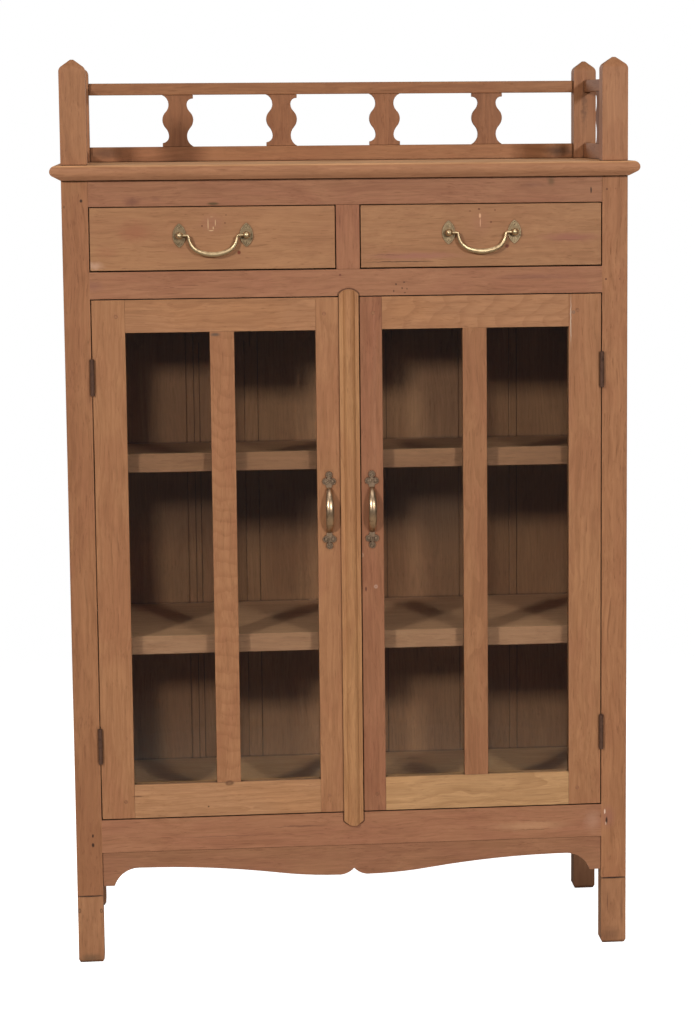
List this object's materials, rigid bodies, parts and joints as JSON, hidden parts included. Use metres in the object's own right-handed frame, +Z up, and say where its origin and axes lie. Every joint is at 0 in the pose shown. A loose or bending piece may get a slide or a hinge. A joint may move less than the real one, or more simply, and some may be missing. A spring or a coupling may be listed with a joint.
{
  "type": "buffet cabinet",
  "caption": "Teak glazed buffet cabinet: bevelled-glass doors under drawers with brass bails, shelves inside, shaped apron and a low baluster gallery on top",
  "frame": {"origin": "on the floor, under the middle of the whole outline, pulls and moulding included", "axes": "+Z is up, the doors and drawers face -Y and +X is to the right as seen from the front"},
  "size_m": [1.038, 0.3989, 1.6159],
  "materials": {
    "teak": "oiled and waxed teak, satin, worn and a little patchy",
    "teak_feet": "teak of a slightly darker piece, waxed",
    "teak_inside": "unpolished teak, dry and greyer",
    "drawer_lining": "unpolished light wood",
    "aged_brass": "cast brass, aged, bright where it is held",
    "hinge_steel": "small butt hinges, darkened and worn",
    "bevelled_glass": "clear sheet glass with a polished bevel"
  },
  "bodies": {
    "carcass": {"apron": "teak", "back_boards": "teak_inside", "bottom_front_rail": "teak", "door_stop": "teak_inside", "drawer_divider": "teak", "drawer_kickers": "teak_inside", "drawer_rail": "teak", "drawer_runners": "teak_inside", "floor_board": "teak_inside", "front_left_leg": "teak", "front_right_leg": "teak", "gallery_balusters": "teak", "gallery_bottom_rails": "teak", "gallery_posts": "teak", "gallery_top_rails": "teak", "hinge_frame_leaves": "hinge_steel", "left_side_panels": "teak", "left_side_rails": "teak", "lower_shelf": "teak_inside", "rear_left_leg": "teak", "rear_rails": "teak_inside", "rear_right_leg": "teak", "right_side_panels": "teak", "right_side_rails": "teak", "shelf_bearers": "teak_inside", "spliced_feet": "teak_feet", "top_board": "teak", "top_front_rail": "teak", "upper_shelf": "teak_inside"},
    "left_door": {"left_hinge_stile": "teak", "left_meeting_stile": "teak", "left_door_top_rail": "teak", "left_door_bottom_rail": "teak", "left_door_muntin": "teak", "left_door_pegs": "teak", "left_door_panes": "bevelled_glass", "left_glazing_beads": "teak", "left_door_pull": "aged_brass", "left_hinge_leaves": "hinge_steel", "meeting_strip": "teak"},
    "right_door": {"right_hinge_stile": "teak", "right_meeting_stile": "teak", "right_door_top_rail": "teak", "right_door_bottom_rail": "teak", "right_door_muntin": "teak", "right_door_pegs": "teak", "right_door_panes": "bevelled_glass", "right_glazing_beads": "teak", "right_door_pull": "aged_brass", "right_hinge_leaves": "hinge_steel"},
    "left_drawer": {"left_drawer_front": "teak", "left_drawer_box": "drawer_lining", "left_drawer_bottom": "drawer_lining", "left_drawer_roses": "aged_brass"},
    "right_drawer": {"right_drawer_front": "teak", "right_drawer_box": "drawer_lining", "right_drawer_bottom": "drawer_lining", "right_drawer_roses": "aged_brass"},
    "left_bail": {"left_bail": "aged_brass"},
    "right_bail": {"right_bail": "aged_brass"}
  },
  "joints": [
    {"name": "left_door_hinge", "type": "hinge", "parent": "carcass", "child": "left_door", "pos_m": [-0.453, -0.1767, 0.7305], "axis": [0, 0, -1], "range_deg": [0, 170]},
    {"name": "right_door_hinge", "type": "hinge", "parent": "carcass", "child": "right_door", "pos_m": [0.453, -0.1767, 0.7305], "axis": [0, 0, 1], "range_deg": [0, 170]},
    {"name": "left_drawer_slide", "type": "slide", "parent": "carcass", "child": "left_drawer", "axis": [0, -1, 0], "range_m": [0, 0.25]},
    {"name": "right_drawer_slide", "type": "slide", "parent": "carcass", "child": "right_drawer", "axis": [0, -1, 0], "range_m": [0, 0.25]},
    {"name": "left_bail_swing", "type": "hinge", "parent": "left_drawer", "child": "left_bail", "pos_m": [-0.2375, -0.182, 1.3095], "axis": [-1, 0, 0], "range_deg": [0, 100]},
    {"name": "right_bail_swing", "type": "hinge", "parent": "right_drawer", "child": "right_bail", "pos_m": [0.2375, -0.182, 1.3095], "axis": [-1, 0, 0], "range_deg": [0, 100]}
  ]
}
